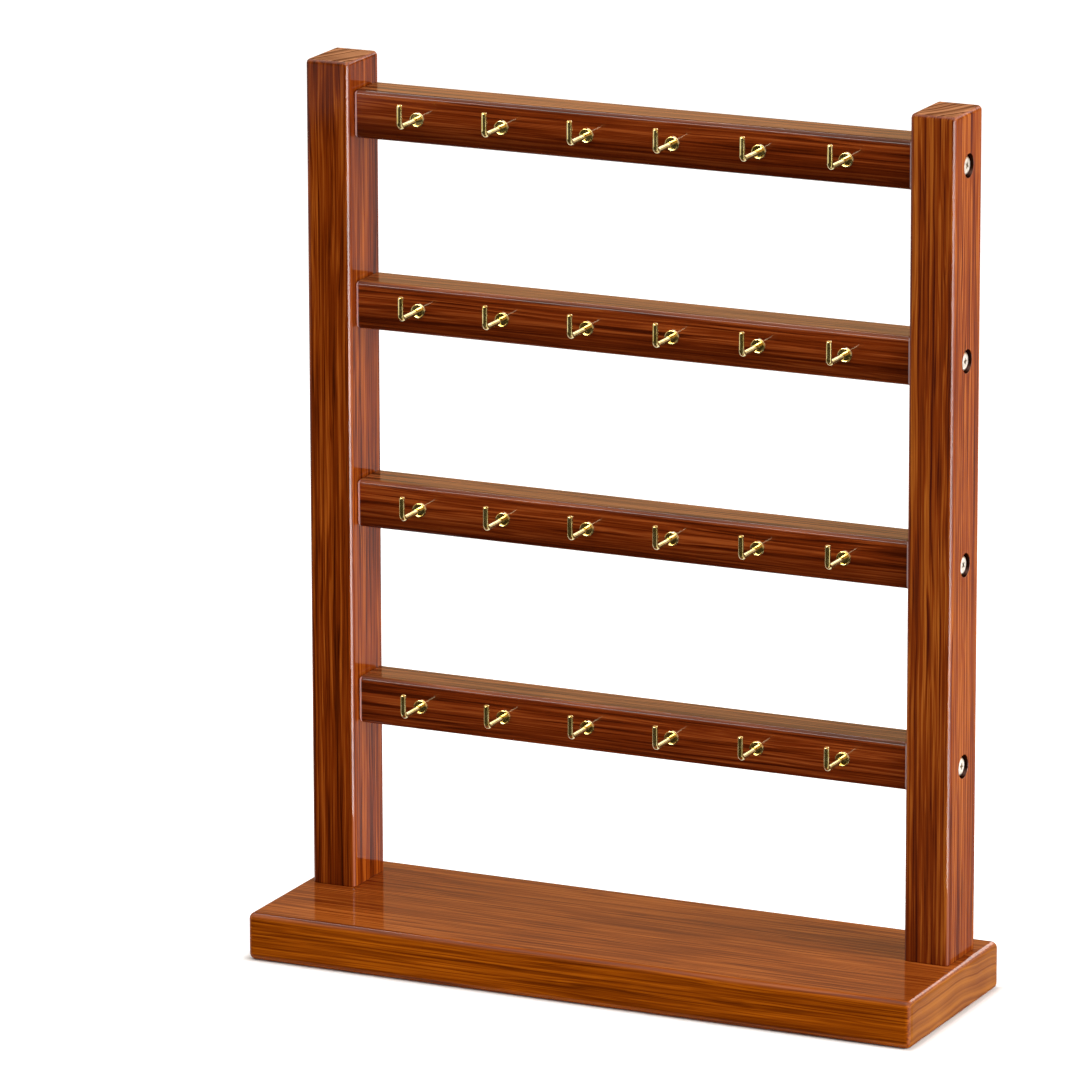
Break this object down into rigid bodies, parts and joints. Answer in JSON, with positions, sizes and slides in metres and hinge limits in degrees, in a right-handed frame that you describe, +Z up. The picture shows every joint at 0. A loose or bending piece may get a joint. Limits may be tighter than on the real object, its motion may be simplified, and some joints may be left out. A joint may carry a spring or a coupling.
{
  "type": "bracelet display stand",
  "caption": "Free-standing lacquered wood frame on a rounded base board, with cross rails that carry rows of small upturned brass hooks for hanging bracelets.",
  "frame": {"origin": "middle of the base board's underside", "axes": "+X along the rails to the right as seen from the front, +Y towards the back, +Z up"},
  "size_m": [0.3006, 0.0944, 0.375],
  "materials": {
    "lacquered_wood": "straight-grained hardwood stained reddish brown under a high-gloss clear lacquer",
    "polished_brass": "polished pale gold brass plate on drawn wire",
    "nickel_plated_steel": "bright nickel plate with fine turning marks",
    "bare_beech": "bare turned beech, hidden inside the joints"
  },
  "bodies": {
    "root": {"base_board": "lacquered_wood", "left_post": "lacquered_wood", "right_post": "lacquered_wood", "top_rail": "lacquered_wood", "upper_rail": "lacquered_wood", "lower_rail": "lacquered_wood", "bottom_rail": "lacquered_wood", "top_rail_hook_1": "polished_brass", "top_rail_hook_2": "polished_brass", "top_rail_hook_3": "polished_brass", "top_rail_hook_4": "polished_brass", "top_rail_hook_5": "polished_brass", "top_rail_hook_6": "polished_brass", "upper_rail_hook_1": "polished_brass", "upper_rail_hook_2": "polished_brass", "upper_rail_hook_3": "polished_brass", "upper_rail_hook_4": "polished_brass", "upper_rail_hook_5": "polished_brass", "upper_rail_hook_6": "polished_brass", "lower_rail_hook_1": "polished_brass", "lower_rail_hook_2": "polished_brass", "lower_rail_hook_3": "polished_brass", "lower_rail_hook_4": "polished_brass", "lower_rail_hook_5": "polished_brass", "lower_rail_hook_6": "polished_brass", "bottom_rail_hook_1": "polished_brass", "bottom_rail_hook_2": "polished_brass", "bottom_rail_hook_3": "polished_brass", "bottom_rail_hook_4": "polished_brass", "bottom_rail_hook_5": "polished_brass", "bottom_rail_hook_6": "polished_brass", "rail_screws": "nickel_plated_steel", "base_screws": "nickel_plated_steel", "rail_dowels": "bare_beech"}
  },
  "joints": []
}
